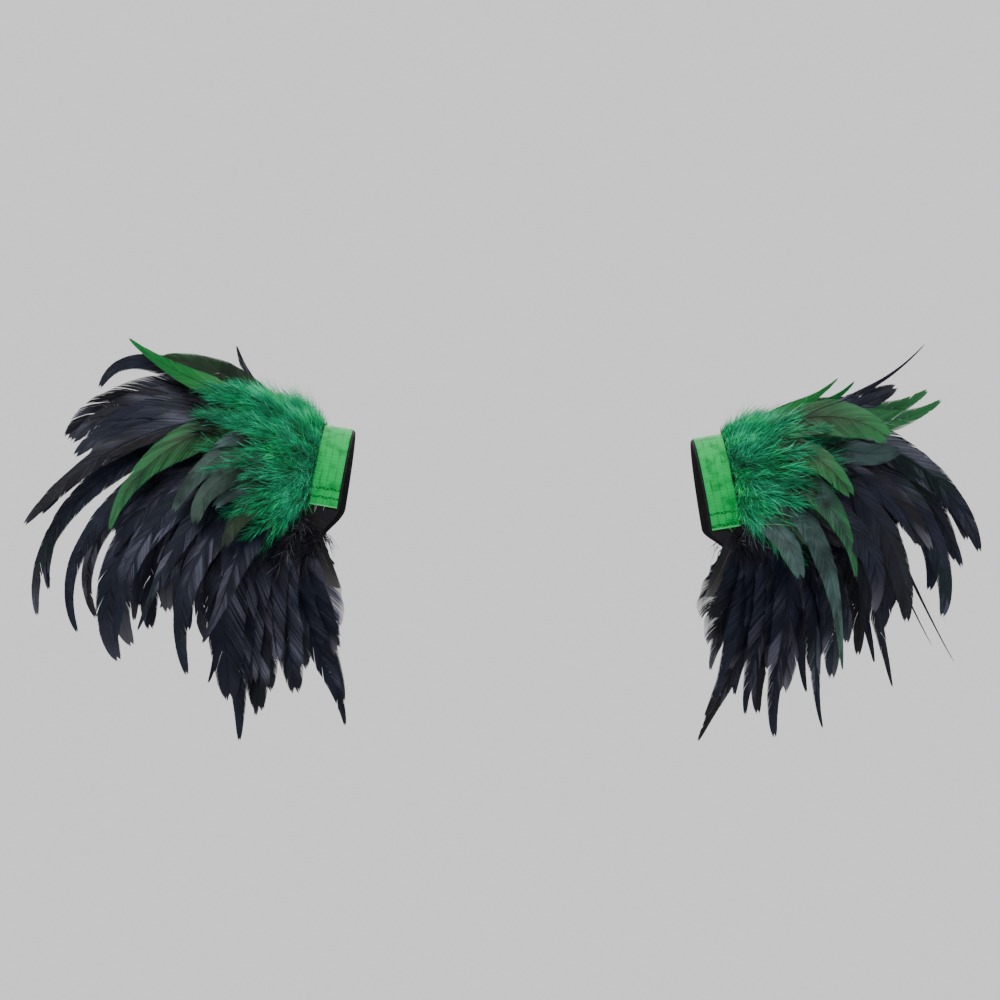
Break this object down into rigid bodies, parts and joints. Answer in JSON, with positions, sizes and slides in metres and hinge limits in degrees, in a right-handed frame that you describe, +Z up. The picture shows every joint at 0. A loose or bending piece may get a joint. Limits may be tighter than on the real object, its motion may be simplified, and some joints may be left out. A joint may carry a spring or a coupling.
{
  "type": "pair of feather shoulder capes",
  "caption": "Two curved shoulder bands, each with a satin ribbon edge, fringes of long feathers that arch out over the shoulder and hang round the upper arm, and an underarm strap.",
  "frame": {"origin": "middle of the wearer's shoulder line, halfway between the two ribbons, level with the tops of the shoulders", "axes": "+X towards the wearer's left, +Z up, the wearer faces -Y"},
  "size_m": [0.734, 0.256, 0.3078],
  "materials": {
    "black_felt": "matt",
    "green_satin": "satin",
    "black_elastic": "matt",
    "green_feather": "soft, slightly glossy",
    "black_feather": "glossy"
  },
  "bodies": {
    "root": {"right_felt_band": "black_felt", "right_satin_ribbon": "green_satin", "right_underarm_strap": "black_elastic", "right_green_fringe": "green_feather", "right_black_upper_fringe": "black_feather", "right_black_lower_fringe": "black_feather", "left_felt_band": "black_felt", "left_satin_ribbon": "green_satin", "left_underarm_strap": "black_elastic", "left_green_fringe": "green_feather", "left_black_upper_fringe": "black_feather", "left_black_lower_fringe": "black_feather"}
  },
  "joints": []
}
